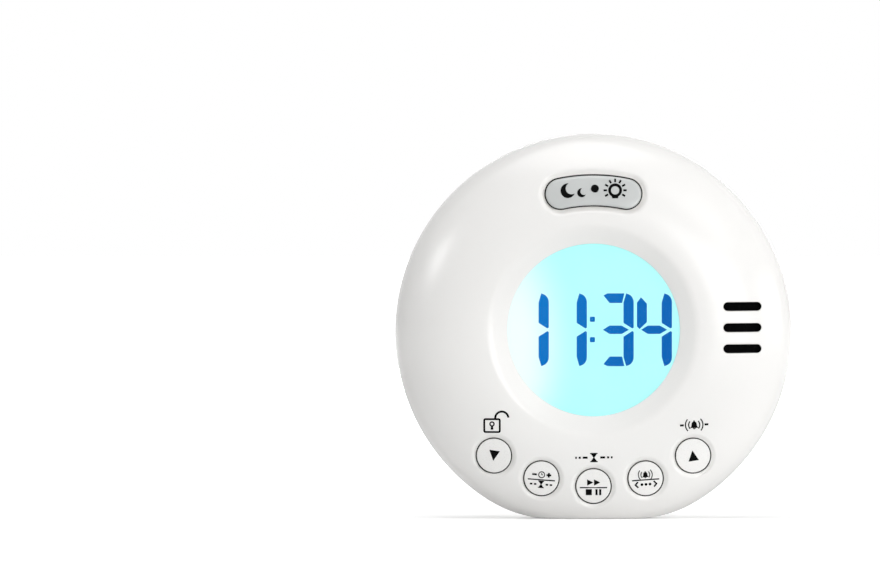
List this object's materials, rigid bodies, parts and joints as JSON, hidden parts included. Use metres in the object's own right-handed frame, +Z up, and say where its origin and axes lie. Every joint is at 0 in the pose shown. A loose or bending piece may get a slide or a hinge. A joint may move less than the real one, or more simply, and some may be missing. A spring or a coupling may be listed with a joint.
{
  "type": "bed shaker alarm clock",
  "caption": "Round travel alarm clock with a lit display, a vibration motor for waking by shaking, a speaker and push buttons, standing on a flat base.",
  "frame": {"origin": "middle of the bounding box at the height of the flat that the clock stands on", "axes": "+Z up, +X to the right seen from the front, -Y out of the display"},
  "size_m": [0.098, 0.03, 0.095],
  "materials": {
    "casing": "moulded white ABS, satin gloss",
    "white_key": "moulded white ABS with black pad print",
    "grey_key": "moulded grey ABS with black pad print",
    "window": "clear polished acrylic, lit cyan from behind",
    "seal": "black adhesive foam",
    "lcd_glass": "laminated display glass with polariser",
    "diffuser": "frosted acrylic, lit",
    "white_film": "white reflector film",
    "holder": "natural ABS",
    "elastomer": "layered conductive elastomer",
    "led": "lamp package",
    "board": "glass-epoxy board with solder mask",
    "epoxy": "black epoxy",
    "capacitor": "aluminium can in a printed sleeve",
    "black_plastic": "black moulded nylon",
    "plunger": "moulded acetal",
    "screw_steel": "zinc-plated steel",
    "magnet": "ferrite",
    "cone": "polyester film",
    "cloth": "black acoustic cloth",
    "armature": "laminated steel with copper wire",
    "weight_brass": "sintered brass",
    "foam": "closed-cell rubber pad",
    "cell_can": "steel can in a printed sleeve",
    "contact_plate": "nickel-plated spring steel",
    "lead_insulation": "thin PVC insulation"
  },
  "bodies": {
    "casing": {"front_case": "casing", "rear_case": "casing", "display_window": "window", "window_seal": "seal", "lcd_cell": "lcd_glass", "front_film": "lcd_glass", "diffuser_film": "diffuser", "light_guide": "diffuser", "reflector_sheet": "white_film", "lcd_holder": "holder", "zebra_strip": "elastomer", "backlight_leds": "led", "main_board": "board", "board_screws": "screw_steel", "controller_blob": "epoxy", "crystal": "screw_steel", "capacitors": "capacitor", "chip_parts": "epoxy", "switch_housings": "black_plastic", "switch_covers": "screw_steel", "speaker_frame": "screw_steel", "speaker_magnet": "magnet", "speaker_cone": "cone", "speaker_cloth": "cloth", "motor_can": "screw_steel", "motor_end_cap": "black_plastic", "motor_magnets": "magnet", "motor_clamp": "screw_steel", "motor_pad": "foam", "clamp_screws": "screw_steel", "battery_1": "cell_can", "battery_2": "cell_can", "battery_springs": "contact_plate", "contact_plus": "contact_plate", "contact_minus": "contact_plate", "contact_link": "contact_plate", "case_screws": "screw_steel", "motor_leads": "lead_insulation", "speaker_leads": "lead_insulation", "battery_leads": "lead_insulation"},
    "down_key": {"down_button": "white_key", "down_plunger": "plunger"},
    "set_key": {"set_button": "white_key", "set_plunger": "plunger"},
    "start_key": {"start_button": "white_key", "start_plunger": "plunger"},
    "select_key": {"select_button": "white_key", "select_plunger": "plunger"},
    "up_key": {"up_button": "white_key", "up_plunger": "plunger"},
    "snooze_key": {"snooze_button": "grey_key", "snooze_plunger": "plunger"},
    "rotor": {"motor_shaft": "screw_steel", "motor_armature": "armature", "eccentric_weight": "weight_brass"},
    "door": {"battery_door": "casing"}
  },
  "joints": [
    {"name": "down_press", "type": "slide", "parent": "casing", "child": "down_key", "axis": [0, 1, 0], "range_m": [0, 0.0006], "stiffness_N_per_m": 2500},
    {"name": "set_press", "type": "slide", "parent": "casing", "child": "set_key", "axis": [0, 1, 0], "range_m": [0, 0.0006], "stiffness_N_per_m": 2500},
    {"name": "start_press", "type": "slide", "parent": "casing", "child": "start_key", "axis": [0, 1, 0], "range_m": [0, 0.0006], "stiffness_N_per_m": 2500},
    {"name": "select_press", "type": "slide", "parent": "casing", "child": "select_key", "axis": [0, 1, 0], "range_m": [0, 0.0006], "stiffness_N_per_m": 2500},
    {"name": "up_press", "type": "slide", "parent": "casing", "child": "up_key", "axis": [0, 1, 0], "range_m": [0, 0.0006], "stiffness_N_per_m": 2500},
    {"name": "snooze_press", "type": "slide", "parent": "casing", "child": "snooze_key", "axis": [0, 1, 0], "range_m": [0, 0.0006], "stiffness_N_per_m": 2500},
    {"name": "motor_spin", "type": "hinge", "parent": "casing", "child": "rotor", "pos_m": [0, 0.0063, 0.0654], "axis": [1, 0, 0], "continuous": true},
    {"name": "door_open", "type": "hinge", "parent": "casing", "child": "door", "pos_m": [0, 0.0142, 0.05135], "axis": [1, 0, 0], "range_deg": [0, 60]}
  ]
}
